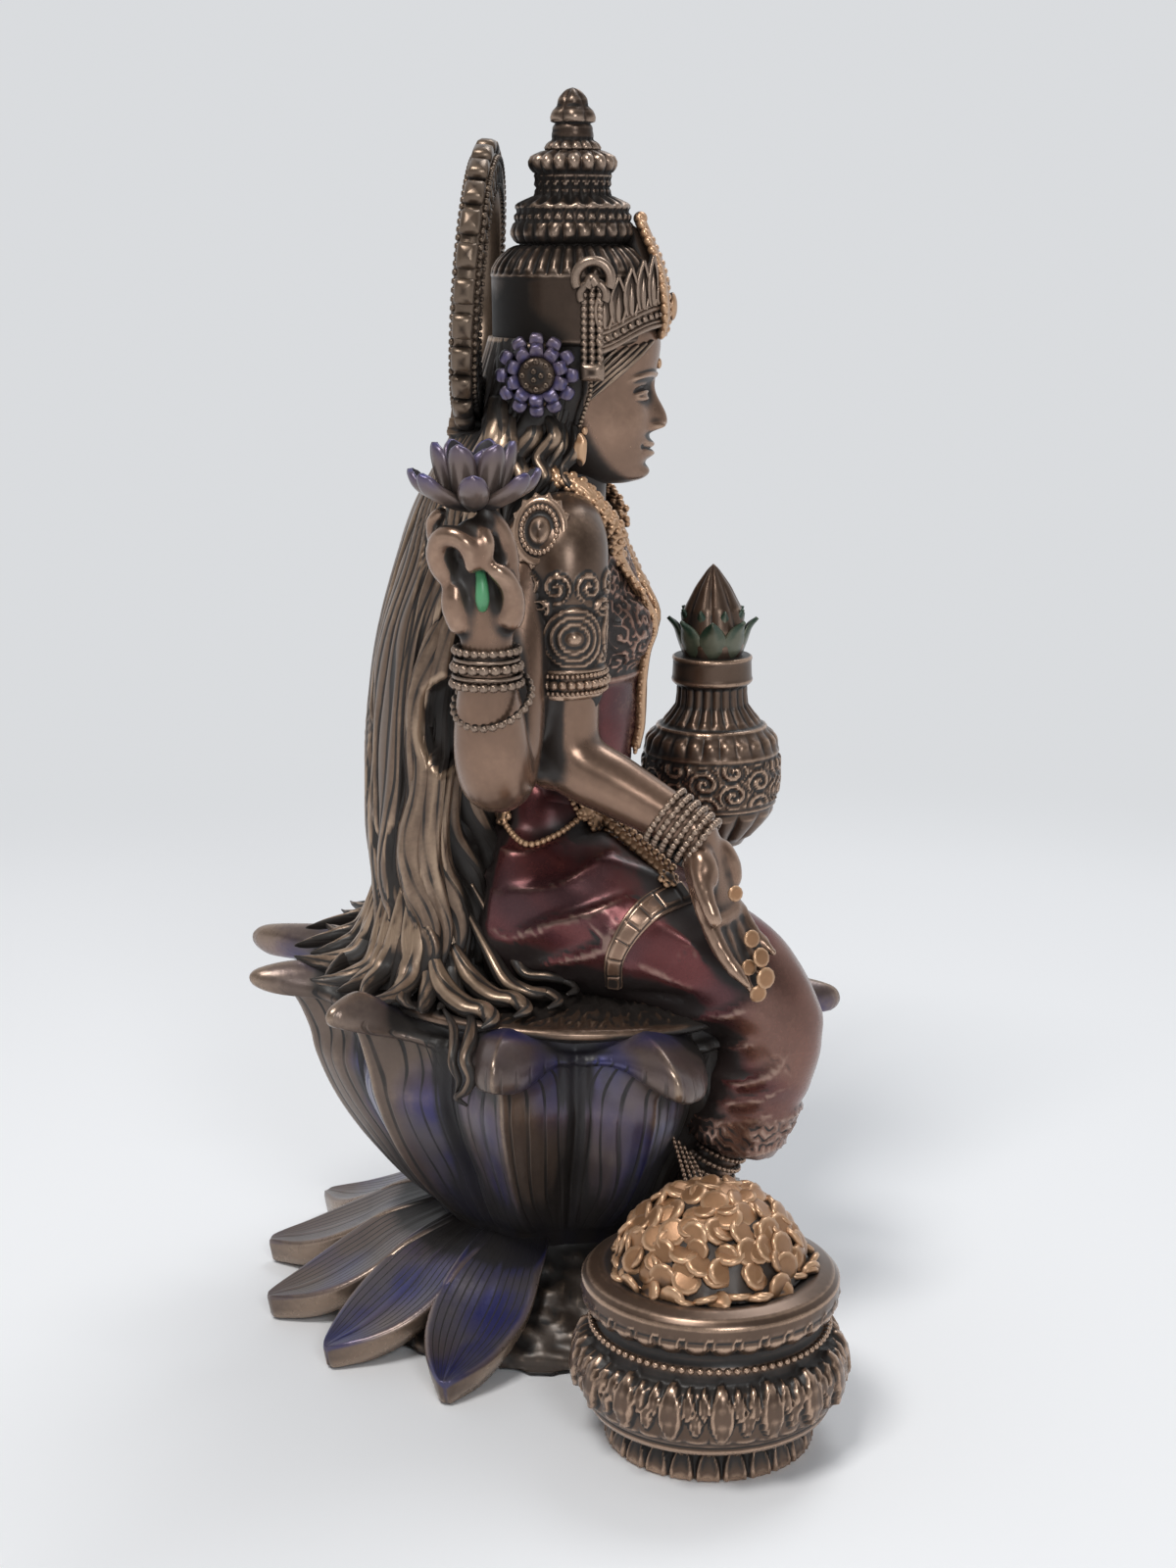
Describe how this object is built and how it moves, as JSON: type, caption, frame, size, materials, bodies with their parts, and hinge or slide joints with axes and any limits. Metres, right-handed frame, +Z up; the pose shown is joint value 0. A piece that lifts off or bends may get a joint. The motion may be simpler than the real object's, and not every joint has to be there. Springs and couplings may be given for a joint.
{
  "type": "lakshmi figure",
  "caption": "Seated four-armed goddess on a lotus throne, with a water pot in one hand, lotus flowers in the raised hands, a coin pot at the foot and a halo ring behind the head.",
  "frame": {"origin": "on the flat underside, at the axis of the lotus throne", "axes": "+Z up, -Y the way the figure faces, -X the figure's own right hand and the coin pot"},
  "size_m": [0.1353, 0.1092, 0.215],
  "materials": {
    "figure_on_lotus": "cold-cast resin with an antique bronze finish, its dress and petals in pearl paint",
    "halo": "cold-cast resin with an antique bronze finish"
  },
  "bodies": {
    "root": {"figure_on_lotus": "figure_on_lotus", "halo": "halo"}
  },
  "joints": []
}
